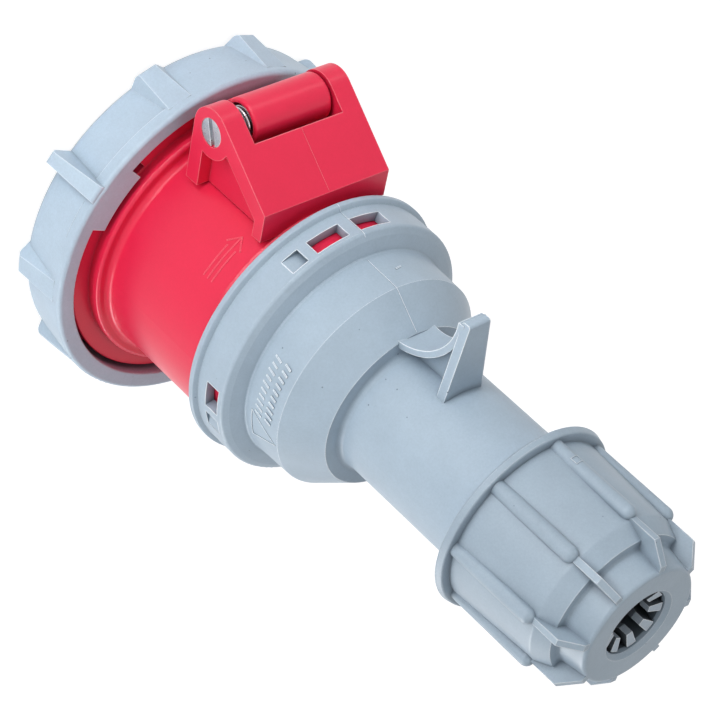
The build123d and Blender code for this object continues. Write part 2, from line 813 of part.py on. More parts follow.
def make_carrier_screws():
    """Two screws through the cover's flange into the ledge of the front body."""
    length = cover_flange_thickness + ledge_thickness - 2 * screw_end_gap
    screws = []
    for angle in carrier_screw_angles:
        screw = headed_screw(terminal_screw_radius - seat_clearance, length,
                             terminal_head_radius, terminal_head_length)
        screws.append(Pos(*polar(ledge_screw_circle(), angle), cover_flange_z) * screw)
    return screws


def make_body_seal():
    """Flat rubber ring between the front body's end and the housing's floor."""
    return band(tube_rear_radius - body_seal_width, tube_rear_radius, tube_end_z, housing_floor_z)


def make_rear_housing():
    """Grey rear housing: windowed collar, shoulder, neck with hook, thread for the nut."""
    outer = [
        (housing_bore_radius, housing_z),
        (housing_lip_radius, housing_z),
        (housing_lip_radius, housing_z + housing_lip_length),
        (housing_band_radius, housing_z + housing_lip_length + housing_lip_height / 2),
        (housing_band_radius, housing_floor_z),
        (housing_rim_radius, housing_step_z - housing_step_length / 4),
        (housing_body_radius, housing_body_z - housing_step_length / 4),
        (housing_crease_radius, housing_crease_z),
        (housing_cone_end_radius, housing_cone_z),
        (neck_radius, housing_cone_z),
        (neck_radius, thread_z),
        (thread_radius, thread_z + thread_height),
        (thread_radius, neck_end_z),
    ]
    cavity_radius = housing_crease_radius - housing_wall
    inner = [
        (neck_bore_radius, neck_end_z),
        (neck_bore_radius, housing_cone_z - housing_wall / 2),
        (cavity_radius, housing_crease_z - housing_wall / 2),
        (cavity_radius, housing_floor_z),
        (housing_bore_radius, housing_floor_z),
    ]
    edges = [0, housing_lip_edge_radius, housing_lip_edge_radius, 0, housing_band_edge_radius,
             housing_lip_edge_radius, housing_body_edge_radius, 0, 0, neck_blend_radius, 0, 0, 0]
    housing = turned(outer + inner, edges + [0] * len(inner))
    housing += make_hook()
    track_radius = tube_rear_radius + twist_lug_height + slide_gap
    track_z = twist_track_z()
    track_length = twist_lug_length + 2 * slide_gap
    for index in range(twist_lug_count):
        start = twist_first_angle + index * 360 / twist_lug_count
        housing -= band_sector(housing_bore_radius - 1, track_radius, track_z, track_z + track_length,
                               start - twist_range - 1, start + twist_lug_angle + 1)
        housing -= band_sector(housing_bore_radius - 1, track_radius, housing_z - 1,
                               track_z + track_length, start - twist_range - 1,
                               start - twist_range + twist_lug_angle + 1)
    window_low = housing_z + window_z_offset
    for start, end in window_angles:
        housing -= band_sector(housing_bore_radius - 1, housing_band_radius + 2, window_low,
                               window_low + window_height, start, end)
    for start, end in pocket_angles:
        housing -= band_sector(housing_band_radius - blind_pocket_depth, housing_band_radius + 2,
                               window_low, window_low + window_height, start, end)
    return housing


def make_hook():
    """Hook moulded on the neck: curved saddle, leg and a web between them."""
    centre_z = housing_cone_z - hook_arc_drop
    centre_y = -(housing_cone_end_radius - hook_arc_sink + hook_arc_radius)
    leg_front = housing_cone_z + hook_leg_offset
    leg_rear = leg_front + hook_leg_thickness
    deep = -neck_radius + hook_root_depth
    under = hook_arc_radius + hook_plate_thickness
    low_y = centre_y + under
    join_y = -hook_tip_height + hook_join_drop
    saddle = cross_rod(under, -hook_foot_half_width, hook_foot_half_width, centre_y, centre_z)
    saddle -= cross_rod(hook_arc_radius, -hook_foot_half_width - 1, hook_foot_half_width + 1,
                        centre_y, centre_z)
    high_y = -hook_tip_height + hook_tip_edge_radius
    keep = side_plate([(high_y, centre_z + hook_arc_sink), (low_y + 1, centre_z + hook_arc_sink),
                       (low_y + 1, leg_front + hook_leg_thickness / 2),
                       (high_y, leg_front + hook_leg_thickness / 2)],
                      -hook_foot_half_width, hook_foot_half_width)
    saddle &= keep
    leg = side_plate([(-hook_tip_height, leg_front), (deep, leg_front),
                      (deep, leg_rear), (-hook_tip_height, leg_rear)],
                     -hook_foot_half_width, hook_foot_half_width,
                     [hook_tip_edge_radius, 0, 0, hook_tip_edge_radius])
    plan_face = make_face(Polyline(
        (-hook_tip_half_width, -hook_tip_height, 0), (hook_tip_half_width, -hook_tip_height, 0),
        (hook_foot_half_width, deep, 0), (-hook_foot_half_width, deep, 0), close=True))
    leg &= extrude(plan_face, amount=2 * leg_rear, dir=(0, 0, 1))
    taper = make_face(Polyline(
        (-hook_plate_half_width, 0, centre_z), (hook_plate_half_width, 0, centre_z),
        (hook_tip_half_width, 0, leg_rear), (-hook_tip_half_width, 0, leg_rear), close=True))
    saddle &= extrude(taper, amount=2 * hook_tip_height, dir=(0, -1, 0))
    web = side_plate([(deep, centre_z), (low_y, centre_z), (join_y, leg_front + hook_leg_thickness / 2),
                      (deep, leg_front + hook_leg_thickness / 2)],
                     -hook_web_thickness / 2, hook_web_thickness / 2)
    web -= cross_rod(hook_arc_radius + hook_plate_thickness / 3, -hook_foot_half_width,
                     hook_foot_half_width, centre_y, centre_z)
    return saddle + leg + web


def make_gland_nut():
    """Grey gland nut with ribs, shoulder fins and a round mouth."""
    nut = turned([
        (0, nut_z),
        (nut_flange_radius, nut_z),
        (nut_flange_radius - nut_flange_rear_drop, nut_flange_z),
        (nut_body_radius, nut_flange_z),
        (nut_shoulder_radius, nut_shoulder_z),
        (nut_edge_radius, nut_edge_z),
        (nut_nose_base_radius, nut_edge_z),
        (nut_nose_radius, nut_end_z),
        (0, nut_end_z),
    ], [0, nut_flange_edge_radius, nut_flange_edge_radius, 0, nut_shoulder_edge_radius, 0,
        nut_nose_blend_radius, nut_nose_edge_radius, 0])
    for index in range(nut_rib_count):
        angle = nut_rib_first_angle + index * 360 / nut_rib_count
        nut += make_nut_rib(angle)
    return nut - make_nut_cavity()


def make_nut_cavity():
    """Inside of the nut: thread bore, cone over the fingers, throat and mouth."""
    bore = thread_radius + thread_clearance
    wall_end = neck_end_z + nut_cone_gap
    nose_z = nut_end_z - nut_throat_length
    return turned([
        (0, nut_z - 1),
        (bore, nut_z - 1),
        (bore, wall_end - 0.5),
        (clamp_base_radius + slide_gap, wall_end),
        (clamp_shoulder_radius + 2 * slide_gap, wall_end + nut_cone_length),
        (nut_mouth_radius, nose_z - 0.4),
        (nut_mouth_radius, nut_end_z - nut_mouth_flare),
        (nut_mouth_radius + nut_mouth_flare, nut_end_z),
        (nut_mouth_radius + nut_mouth_flare, nut_end_z + 1),
        (0, nut_end_z + 1),
    ])


def make_nut_rib(angle):
    """Half-round rib on the nut, continued by a thin fin over the shoulder."""
    rib_z = nut_flange_z - slide_gap
    centre = nut_body_radius + nut_rib_height - nut_rib_radius
    straight = nut_rib_length - nut_rib_radius
    rod = Cylinder(nut_rib_radius, straight, align=(Align.CENTER, Align.CENTER, Align.MIN))
    rod += Pos(0, 0, straight) * Sphere(nut_rib_radius)
    rib = Pos(0, -centre, rib_z) * rod
    crest = nut_body_radius - nut_fin_crest_inset
    root = nut_nose_radius - nut_fin_root_depth
    top_z = nut_end_z - slide_gap
    fin = side_plate([
        (-crest, rib_z + straight),
        (-crest, nut_end_z - nut_fin_knee_setback),
        (-nut_nose_base_radius - nut_fin_end_height, top_z),
        (-root, top_z),
        (-root, nut_edge_z),
        (-nut_edge_radius + nut_fin_root_depth, rib_z + straight),
    ], -nut_fin_thickness / 2, nut_fin_thickness / 2)
    return Rot(0, 0, angle) * (rib + fin)


def clamp_profile():
    """Half outline of the clamp basket."""
    tip_z = nut_end_z - clamp_tip_setback
    base_z = neck_end_z - clamp_base_length
    shoulder_z = neck_end_z + slide_gap
    cone_z = neck_end_z + clamp_cone_end
    throat_z = nut_end_z - nut_throat_length - 0.4
    return [
        (clamp_base_radius - clamp_wall, base_z),
        (clamp_base_radius, base_z),
        (clamp_base_radius, neck_end_z + clamp_cone_start),
        (clamp_shoulder_radius, cone_z),
        (clamp_tip_outer_radius, throat_z - 0.6),
        (clamp_tip_outer_radius, tip_z),
        (clamp_tip_inner_radius, tip_z - clamp_tip_slant),
        (clamp_tip_inner_radius, tip_z - clamp_tip_slant - clamp_tip_length),
        (clamp_shoulder_radius - clamp_wall, cone_z - 0.8),
        (clamp_base_radius - clamp_wall, shoulder_z),
    ]


def make_clamp_basket():
    """Clamp basket: a base ring in the neck and nine fingers inside the nut."""
    basket = turned(clamp_profile())
    low = neck_end_z + clamp_cone_start
    for index in range(clamp_count):
        middle = clamp_first_angle + (index + 0.5) * 360 / clamp_count
        basket -= band_sector(clamp_tip_inner_radius / 2, clamp_base_radius + 1, low, nut_end_z,
                              middle - clamp_gap_angle / 2, middle + clamp_gap_angle / 2)
    return basket


def make_gland_seal():
    """Rubber sleeve that grips the cable inside the basket."""
    top = neck_end_z
    return band(gland_seal_bore, clamp_base_radius - clamp_wall - seat_clearance,
                top - gland_seal_length, top)


def write_part(name, shape):
    """Write one node's solids to its file."""
    solids = shape if isinstance(shape, list) else [shape]
    export_step(Compound(children=list(solids)) if len(solids) > 1 else solids[0],
                f"parts/{name}.step")


def main():
    os.makedirs("parts", exist_ok=True)
    write_part("front_body", make_front_body())
    write_part("carrier_face", make_carrier_face())
    write_part("contact_carrier", make_contact_carrier())
    write_part("carrier_cover", make_carrier_cover())
    write_part("cover_screw", make_cover_screw())
    write_part("carrier_screws", make_carrier_screws())
    for name, angle in pole_angles.items():
        write_part(f"contact_{name}", make_contact_sleeve(name, angle))
        write_part(f"contact_spring_{name}", make_contact_spring(name, angle))
    write_part("terminal_screws", make_terminal_screws())
    write_part("hinge_pin", make_hinge_pin())
    write_part("lid_spring", make_lid_spring())
    write_part("lid", make_lid())
    write_part("lid_seal", make_lid_seal())
    write_part("lid_ring", make_lid_ring())
    write_part("body_seal", make_body_seal())
    write_part("rear_housing", make_rear_housing())
    write_part("clamp_basket", make_clamp_basket())
    write_part("gland_seal", make_gland_seal())
    write_part("gland_nut", make_gland_nut())


main()
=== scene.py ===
import json
import math

import bpy
import bmesh
from mathutils import Matrix, Vector
from mathutils.bvhtree import BVHTree


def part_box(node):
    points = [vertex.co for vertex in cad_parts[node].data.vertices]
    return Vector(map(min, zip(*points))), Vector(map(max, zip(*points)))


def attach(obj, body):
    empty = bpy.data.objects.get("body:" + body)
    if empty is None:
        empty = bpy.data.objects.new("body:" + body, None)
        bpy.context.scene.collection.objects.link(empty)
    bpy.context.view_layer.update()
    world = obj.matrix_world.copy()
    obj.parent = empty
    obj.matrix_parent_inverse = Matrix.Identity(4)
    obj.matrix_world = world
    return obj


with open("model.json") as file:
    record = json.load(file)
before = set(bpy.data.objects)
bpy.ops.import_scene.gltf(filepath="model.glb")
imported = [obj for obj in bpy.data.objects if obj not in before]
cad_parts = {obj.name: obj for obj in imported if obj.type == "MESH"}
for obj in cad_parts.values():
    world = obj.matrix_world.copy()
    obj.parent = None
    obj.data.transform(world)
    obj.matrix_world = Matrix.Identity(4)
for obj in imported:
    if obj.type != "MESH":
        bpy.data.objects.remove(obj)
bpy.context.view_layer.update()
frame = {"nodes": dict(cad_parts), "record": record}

mm = 0.001
cadNodes = frame["nodes"]
scene = bpy.context.scene
print("frame loaded")


# Camera, at the photograph's viewing angle
cameraSettings = {
    "place": (0.33635, -0.38894, 0.37248),
    "right": (-0.75695, -0.16285, 0.63287),  # the picture's right, up and depth in the object's frame
    "up": (-0.32848, -0.74240, -0.58391),
    "back": (0.56493, -0.64987, 0.50846),
    "lens": 133.38,
    "sensor": 36.0,
    "near": 0.01,
    "far": 20,
}


def makeCamera(settings):
    data = bpy.data.cameras.new("photoCamera")
    data.lens = settings["lens"]
    data.sensor_width = settings["sensor"]
    data.clip_start = settings["near"]
    data.clip_end = settings["far"]
    camera = bpy.data.objects.new("photoCamera", data)
    scene.collection.objects.link(camera)
    turn = Matrix([settings["right"], settings["up"], settings["back"]]).transposed()
    camera.matrix_world = Matrix.Translation(settings["place"]) @ turn.to_4x4()
    scene.camera = camera


makeCamera(cameraSettings)
print("camera made")


# Small helpers for node trees
midRange = (0.3, 0.7)  # where most values of a noise lie
edgeSamples = 8  # rays for rounded edges and creases


def newTree(name):
    material = bpy.data.materials.new(name)
    material.use_nodes = True
    tree = material.node_tree
    tree.nodes.clear()
    output = tree.nodes.new("ShaderNodeOutputMaterial")
    shader = tree.nodes.new("ShaderNodeBsdfPrincipled")
    tree.links.new(shader.outputs["BSDF"], output.inputs["Surface"])
    place = tree.nodes.new("ShaderNodeTexCoord")
    return material, tree, shader, place.outputs["Object"]


def noise(tree, vector, scale, detail, roughness=0.5):
    node = tree.nodes.new("ShaderNodeTexNoise")
    node.inputs["Scale"].default_value = scale
    node.inputs["Detail"].default_value = detail
    node.inputs["Roughness"].default_value = roughness
    tree.links.new(vector, node.inputs["Vector"])
    return node.outputs["Fac"]


def remap(tree, value, fromRange, toRange=(0.0, 1.0)):
    node = tree.nodes.new("ShaderNodeMapRange")
    node.inputs["From Min"].default_value, node.inputs["From Max"].default_value = fromRange
    node.inputs["To Min"].default_value, node.inputs["To Max"].default_value = toRange
    tree.links.new(value, node.inputs["Value"])
    return node.outputs["Result"]


def mixColour(tree, factor, first, second):
    node = tree.nodes.new("ShaderNodeMix")
    node.data_type = "RGBA"
    tree.links.new(factor, node.inputs["Factor"])
    for socket, value in ((node.inputs[6], first), (node.inputs[7], second)):  # its two colours
        if isinstance(value, bpy.types.NodeSocket):
            tree.links.new(value, socket)
        else:
            socket.default_value = (*value, 1)
    return node.outputs[2]


def multiply(tree, first, second):
    node = tree.nodes.new("ShaderNodeMath")
    node.operation = "MULTIPLY"
    tree.links.new(first, node.inputs[0])
    if isinstance(second, bpy.types.NodeSocket):
        tree.links.new(second, node.inputs[1])
    else:
        node.inputs[1].default_value = second
    return node.outputs[0]


def specks(tree, vector, scale, size, share):  # small round pits in a share of the cells
    core = size * 0.6
    justBelow = share - 0.001
    cells = tree.nodes.new("ShaderNodeTexVoronoi")
    cells.inputs["Scale"].default_value = scale
    tree.links.new(vector, cells.inputs["Vector"])
    dot = remap(tree, cells.outputs["Distance"], (size, core))
    split = tree.nodes.new("ShaderNodeSeparateColor")
    tree.links.new(cells.outputs["Color"], split.inputs["Color"])
    chosen = remap(tree, split.outputs["Red"], (share, justBelow))
    return multiply(tree, dot, chosen)


def roundedNormal(tree, radius):
    node = tree.nodes.new("ShaderNodeBevel")
    node.samples = edgeSamples
    node.inputs["Radius"].default_value = radius
    return node.outputs["Normal"]


def bump(tree, height, distance, strength, normal):
    node = tree.nodes.new("ShaderNodeBump")
    node.inputs["Strength"].default_value = strength
    node.inputs["Distance"].default_value = distance
    tree.links.new(height, node.inputs["Height"])
    tree.links.new(normal, node.inputs["Normal"])
    return node.outputs["Normal"]


def edgeMask(tree, normal, agreement):  # 1 where the rounded normal leaves the plain one
    geometry = tree.nodes.new("ShaderNodeNewGeometry")
    dot = tree.nodes.new("ShaderNodeVectorMath")
    dot.operation = "DOT_PRODUCT"
    tree.links.new(normal, dot.inputs[0])
    tree.links.new(geometry.outputs["Normal"], dot.inputs[1])
    return remap(tree, dot.outputs["Value"], agreement)


def openness(tree, reach):  # 1 in the open, 0 in creases and inside
    node = tree.nodes.new("ShaderNodeAmbientOcclusion")
    node.samples = edgeSamples
    node.inputs["Distance"].default_value = reach
    return node.outputs["AO"]


# Mouldings: clouds, fine mottle, painted shade in creases, painted highlights on edges, pits and a grain
def makePlastic(name, settings):
    material, tree, shader, place = newTree(name)
    cloud = noise(tree, place, settings["cloudScale"], settings["cloudDetail"], settings["cloudRoughness"])
    cloud = remap(tree, cloud, settings["cloudRange"])
    colour = mixColour(tree, cloud, settings["dark"], settings["light"])
    fine = noise(tree, place, settings["mottleScale"], settings["mottleDetail"], settings["mottleRoughness"])
    fine = remap(tree, fine, settings["mottleRange"], (0.0, settings["mottle"]))
    colour = mixColour(tree, fine, colour, settings["speck"])
    # Painted shade: creases, recesses and insides are darkened towards the crease colour where ambient
    # occlusion finds little open space
    air = openness(tree, settings["creaseReach"])
    unshadedShare = remap(tree, air, settings["creaseRange"], (settings["creaseShade"], 1.0))
    colour = mixColour(tree, unshadedShare, settings["paintedShadeColour"], colour)
    soft = roundedNormal(tree, settings["edgeRadius"])
    # Painted highlight: rounded edges in the open are lightened towards a pale edge colour
    wide = roundedNormal(tree, settings["edgeWidth"])
    edge = edgeMask(tree, wide, settings["edgeAgreement"])
    edge = multiply(tree, edge, remap(tree, air, settings["edgeOpenness"]))
    edge = multiply(tree, edge, settings["edgeLight"])
    colour = mixColour(tree, edge, colour, settings["edge"])
    spots = specks(tree, place, settings["speckScale"], settings["speckSize"], settings["speckShare"])
    colour = mixColour(tree, spots, colour, settings["speck"])
    tree.links.new(colour, shader.inputs["Base Color"])
    gloss = noise(tree, place, settings["glossScale"], detail=3)
    gloss = remap(tree, gloss, midRange, (settings["roughLow"], settings["roughHigh"]))
    tree.links.new(gloss, shader.inputs["Roughness"])
    grain = noise(tree, place, settings["grainScale"], detail=2)
    grain = bump(tree, grain, settings["grainDepth"], settings["grainStrength"], soft)
    tree.links.new(grain, shader.inputs["Normal"])
    shader.inputs["Specular IOR Level"].default_value = settings["specular"]
    return material


# In each moulding the crease colour is painted shade in creases and the edge colour is a painted highlight on
# rounded edges
moulding = {  # the same for all mouldings
    "cloudDetail": 8, "cloudRoughness": 0.72, "cloudRange": (0.15, 0.85),
    "mottleScale": 1900, "mottleDetail": 3, "mottleRoughness": 0.7, "mottleRange": (0.35, 0.65),
    "creaseRange": (0.3, 0.9), "edgeAgreement": (0.988, 0.92), "edgeOpenness": (0.82, 0.97),
}
greyPlastic = {
    **moulding,
    "dark": (0.313, 0.394, 0.475), "light": (0.390, 0.491, 0.588), "cloudScale": 75,
    "paintedShadeColour": (0.09, 0.12, 0.155), "creaseReach": 2.4 * mm, "creaseShade": 0.2,
    "edge": (0.93, 0.97, 1.0), "edgeLight": 0.9, "edgeRadius": 0.2 * mm, "edgeWidth": 0.42 * mm,
    "speck": (0.16, 0.20, 0.25), "speckScale": 420, "speckSize": 0.10, "speckShare": 0.10, "mottle": 0.12,
    "roughLow": 0.36, "roughHigh": 0.46, "glossScale": 90,
    "grainScale": 2600, "grainDepth": 0.04 * mm, "grainStrength": 0.25,
    "specular": 0.4,
}
redPlastic = {
    **moulding,
    "dark": (0.68, 0.0165, 0.059), "light": (0.755, 0.0200, 0.070), "cloudScale": 45,
    "paintedShadeColour": (0.24, 0.002, 0.012), "creaseReach": 1.5 * mm, "creaseShade": 0.55,
    "edge": (0.98, 0.42, 0.46), "edgeLight": 0.3, "edgeRadius": 0.2 * mm, "edgeWidth": 0.42 * mm,
    "speck": (0.40, 0.01, 0.03), "speckScale": 380, "speckSize": 0.10, "speckShare": 0.03, "mottle": 0.08,
    "roughLow": 0.29, "roughHigh": 0.33, "glossScale": 80,
    "grainScale": 2200, "grainDepth": 0.04 * mm, "grainStrength": 0.2,
    "specular": 0.36,
}
# Painted shade: near black colour over a 9 mm reach darkens the inside of the nut's mouth
clampPlastic = {
    **greyPlastic,
    "dark": (0.36, 0.43, 0.50), "light": (0.44, 0.52, 0.60),
    "paintedShadeColour": (0.004, 0.005, 0.006), "creaseReach": 9 * mm, "creaseShade": 0.0,
}
carrierPlastic = {
    **moulding,
    "dark": (0.020, 0.021, 0.023), "light": (0.030, 0.031, 0.034), "cloudScale": 70,
    "paintedShadeColour": (0.006, 0.006, 0.007), "creaseReach": 3 * mm, "creaseShade": 0.4,
    "edge": (0.08, 0.08, 0.085), "edgeLight": 0.5, "edgeRadius": 0.3 * mm, "edgeWidth": 0.4 * mm,
    "speck": (0.06, 0.06, 0.06), "speckScale": 900, "speckSize": 0.15, "speckShare": 0.25, "mottle": 0.1,
    "roughLow": 0.42, "roughHigh": 0.56, "glossScale": 120,
    "grainScale": 3000, "grainDepth": 0.06 * mm, "grainStrength": 0.4,
    "specular": 0.45,
}
sealRubber = {
    **moulding,
    "dark": (0.014, 0.014, 0.015), "light": (0.022, 0.022, 0.023), "cloudScale": 90,
    "paintedShadeColour": (0.004, 0.004, 0.004), "creaseReach": 2 * mm, "creaseShade": 0.4,
    "edge": (0.05, 0.05, 0.05), "edgeLight": 0.35, "edgeRadius": 0.3 * mm, "edgeWidth": 0.4 * mm,
    "speck": (0.09, 0.09, 0.09), "speckScale": 1100, "speckSize": 0.10, "speckShare": 0.12, "mottle": 0.05,
    "roughLow": 0.70, "roughHigh": 0.84, "glossScale": 140,
    "grainScale": 3500, "grainDepth": 0.08 * mm, "grainStrength": 0.5,
    "specular": 0.15,
}


# Metals: a cloudy tone and fine brushed lines
def makeMetal(name, settings):
    material, tree, shader, place = newTree(name)
    cloud = remap(tree, noise(tree, place, settings["cloudScale"], detail=4), midRange)
    colour = mixColour(tree, cloud, settings["dark"], settings["light"])
    tree.links.new(colour, shader.inputs["Base Color"])
    stretch = tree.nodes.new("ShaderNodeMapping")
    stretch.inputs["Scale"].default_value = settings["brushing"]
    tree.links.new(place, stretch.inputs["Vector"])
    lines = noise(tree, stretch.outputs["Vector"], 1.0, detail=4)
    gloss = remap(tree, lines, midRange, (settings["roughLow"], settings["roughHigh"]))
    tree.links.new(gloss, shader.inputs["Roughness"])
    soft = roundedNormal(tree, settings["edgeRadius"])
    relief = bump(tree, lines, settings["lineDepth"], settings["lineStrength"], soft)
    tree.links.new(relief, shader.inputs["Normal"])
    shader.inputs["Metallic"].default_value = 1.0
    return material


turnedBrass = {
    "dark": (0.70, 0.47, 0.17), "light": (0.84, 0.62, 0.28), "cloudScale": 160,
    "brushing": (900, 900, 4500), "roughLow": 0.22, "roughHigh": 0.36,
    "edgeRadius": 0.15 * mm, "lineDepth": 0.02 * mm, "lineStrength": 0.3,
}
zincSteel = {
    "dark": (0.55, 0.58, 0.62), "light": (0.74, 0.76, 0.78), "cloudScale": 300,
    "brushing": (600, 2600, 2600), "roughLow": 0.24, "roughHigh": 0.42,
    "edgeRadius": 0.2 * mm, "lineDepth": 0.02 * mm, "lineStrength": 0.35,
}
springSteel = {
    "dark": (0.50, 0.51, 0.53), "light": (0.66, 0.67, 0.69), "cloudScale": 260,
    "brushing": (1500, 1500, 1500), "roughLow": 0.20, "roughHigh": 0.34,
    "edgeRadius": 0.1 * mm, "lineDepth": 0.02 * mm, "lineStrength": 0.2,
}

looks = {
    "red_plastic": makePlastic("redPlastic", redPlastic),
    "grey_plastic": makePlastic("greyPlastic", greyPlastic),
    "clamp_plastic": makePlastic("clampPlastic", clampPlastic),
    "carrier_plastic": makePlastic("carrierPlastic", carrierPlastic),
    "rubber": makePlastic("rubber", sealRubber),
    "brass": makeMetal("brass", turnedBrass),
    "zinc_steel": makeMetal("zincSteel", zincSteel),
    "spring_steel": makeMetal("springSteel", springSteel),
}

# Two of the grey mouldings are scaled in colour: the lid ring lighter as painted light and the gland nut
# darker as painted shade, each with its own strength of painted edge highlight
paintedLightGreys = {
    "lid_ring": {"tone": 1.21, "edgeLight": 0.4},
    "gland_nut": {"tone": 0.84, "edgeLight": 0.55},
}


def makePaintedLightGrey(nodeName, settings):
    # The tone scales the base colours and the edge highlight colour: above 1 is painted light, below 1 is
    # painted shade
    colours = {key: tuple(value * settings["tone"] for value in greyPlastic[key])
               for key in ("dark", "light", "edge")}
    paintedLightSettings = {**greyPlastic, **colours, "edgeLight": settings["edgeLight"]}
    return makePlastic("greyPlastic_" + nodeName, paintedLightSettings)


paintedLightLooks = {nodeName: makePaintedLightGrey(nodeName, settings) for nodeName, settings in paintedLightGreys.items()}
slotOf = {entry["node"]: entry["material_slot"] for entry in frame["record"]["subparts"]}
for nodeName, nodeObject in cadNodes.items():
    nodeObject.data.materials.clear()
    nodeObject.data.materials.append(paintedLightLooks.get(nodeName) or looks[slotOf[nodeName]])
print("materials made")


# Helpers for the pieces on a round CAD node. A spot on it is an angle in degrees from the hinge
# side and a height in millimetres above the node's lowest point.
rayStart = 80 * mm  # farther out than any node


def outwardAt(angle):
    turn = math.radians(angle)
    return Vector((math.sin(turn), -math.cos(turn), 0))


def surfaceFinder(nodeName):  # finds the point and the normal at a spot
    source = cadNodes[nodeName]
    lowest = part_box(nodeName)[0].z
    tree = BVHTree.FromPolygons([vertex.co.copy() for vertex in source.data.vertices],
                                [tuple(face.vertices) for face in source.data.polygons])

    def find(angle, height):
        outward = outwardAt(angle)
        level = Vector((0, 0, lowest + height * mm))
        point, normal, _, _ = tree.ray_cast(outward * rayStart + level, -outward)
        if normal.dot(outward) < 0:
            normal = -normal
        return point, normal

    return find


def joinRings(work, rings):  # a closed bar along cross-sections of four corners
    for low, high in zip(rings, rings[1:]):
        for corner in range(4):
            after = (corner + 1) % 4
            work.faces.new((low[corner], low[after], high[after], high[corner]))
    work.faces.new(rings[0])
    work.faces.new(list(reversed(rings[-1])))


def addPiece(name, mesh, slotName, body):
    piece = bpy.data.objects.new(name, mesh)
    scene.collection.objects.link(piece)
    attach(piece, body)


def addMesh(name, build, settings):
    mesh = bpy.data.meshes.new(name)
    work = bmesh.new()
    build(work)
    bmesh.ops.recalc_face_normals(work, faces=work.faces)
    work.to_mesh(mesh)
    work.free()
    mesh.materials.append(cadNodes[settings["node"]].data.materials[0])
    addPiece(name, mesh, settings["slot"], settings["body"])


findOn = {name: surfaceFinder(name) for name in ("front_body", "rear_housing", "gland_nut", "lid_ring")}


# Raised lines: mould seams and small marks, with their width and height in millimetres
raisedLines = {
    "bracket_seam": {
        "node": "front_body", "slot": "red_plastic", "body": "socket_front",
        "width": 0.22, "height": 0.06, "paths": [[(-0.66, 28.8), (-0.83, 40.9)]],
    },
    "tube_arrow": {
        "node": "front_body", "slot": "red_plastic", "body": "socket_front",
        "width": 0.55, "height": 0.1,
        "paths": [[(34.5, 35.5), (56.0, 35.5)], [(39.5, 33.1), (34.5, 35.5), (39.5, 37.9)],
                  [(40.5, 34.1), (56.0, 34.1)], [(40.5, 36.9), (56.0, 36.9)]],
    },
    "housing_mark": {
        "node": "rear_housing", "slot": "grey_plastic", "body": "housing_body",
        "width": 0.35, "height": 0.14,
        "paths": [[(93.5, 14.7), (104.0, 22.5)], [(93.5, 14.7), (110.0, 14.7)],
                  [(110.0, 14.7), (104.0, 22.5)]],
    },
    "housing_dash": {
        "node": "rear_housing", "slot": "grey_plastic", "body": "housing_body",
        "width": 0.6, "height": 0.16, "paths": [[(-11.3, 17.8), (-7.6, 18.2)]],
    },
    "housing_seam": {
        "node": "rear_housing", "slot": "grey_plastic", "body": "housing_body",
        "width": 0.22, "height": 0.06,
        "paths": [[(-0.25, 0.5), (-0.25, 10.7)], [(0.6, 13.2), (0.6, 31.5)],
                  [(180.0, 0.5), (180.0, 10.7)], [(180.0, 13.2), (180.0, 31.5)]],
    },
    "nut_mark": {
        "node": "gland_nut", "slot": "grey_plastic", "body": "nut_body",
        "width": 0.3, "height": 0.12,
        "paths": [[(-8.8, 7.4), (-4.6, 7.4), (-4.6, 9.2), (-8.8, 9.2), (-8.8, 7.4)]],
    },
    "ring_seam": {
        "node": "lid_ring", "slot": "grey_plastic", "body": "ring_body",
        "width": 0.2, "height": 0.05, "paths": [[(59.7, 14.0), (72.4, 14.0)]],
    },
}
lineStep = 0.4  # millimetres from one cross-section to the next
lineRadius = 30.0  # turns an angle into a length along the line
lineRoot = 0.12  # how deep a line reaches into its node


def spotsAlong(path):
    spots = [path[0]]
    for (angle, height), (nextAngle, nextHeight) in zip(path, path[1:]):
        turn, rise = nextAngle - angle, nextHeight - height
        length = math.hypot(math.radians(turn) * lineRadius, rise)
        count = max(1, int(length / lineStep))
        spots += [(angle + turn * step / count, height + rise * step / count) for step in range(1, count + 1)]
    return spots


def raiseLine(work, find, path, width, height):
    section = ((width / 2, -lineRoot), (width / 3, height), (-width / 3, height), (-width / 2, -lineRoot))
    found = [find(*spot) for spot in spotsAlong(path)]
    rings = []
    for index, (point, normal) in enumerate(found):
        before = found[max(index - 1, 0)][0]
        after = found[min(index + 1, len(found) - 1)][0]
        side = normal.cross(after - before).normalized()
        rings.append([work.verts.new(point + side * across * mm + normal * lift * mm)
                      for across, lift in section])
    joinRings(work, rings)


def makeLines(name, settings):
    def build(work):
        for path in settings["paths"]:
            raiseLine(work, findOn[settings["node"]], path, settings["width"], settings["height"])

    addMesh(name, build, settings)


for lineName, lineSettings in raisedLines.items():
    makeLines(lineName, lineSettings)
print("raised lines made")


# Sloped floors of the two blind pockets in the housing's collar
pocketRamps = {
    "node": "rear_housing", "slot": "grey_plastic", "body": "housing_body",
    "spans": [(24.4, 32.1), (104.4, 112.1)],  # from the deep end to the end level with the collar
    "probe": 1,  # degrees past each of these, where the radii are measured
    "low": 4.75, "high": 8.95, "root": 0.1, "inset": 0.03, "steps": 8,
}


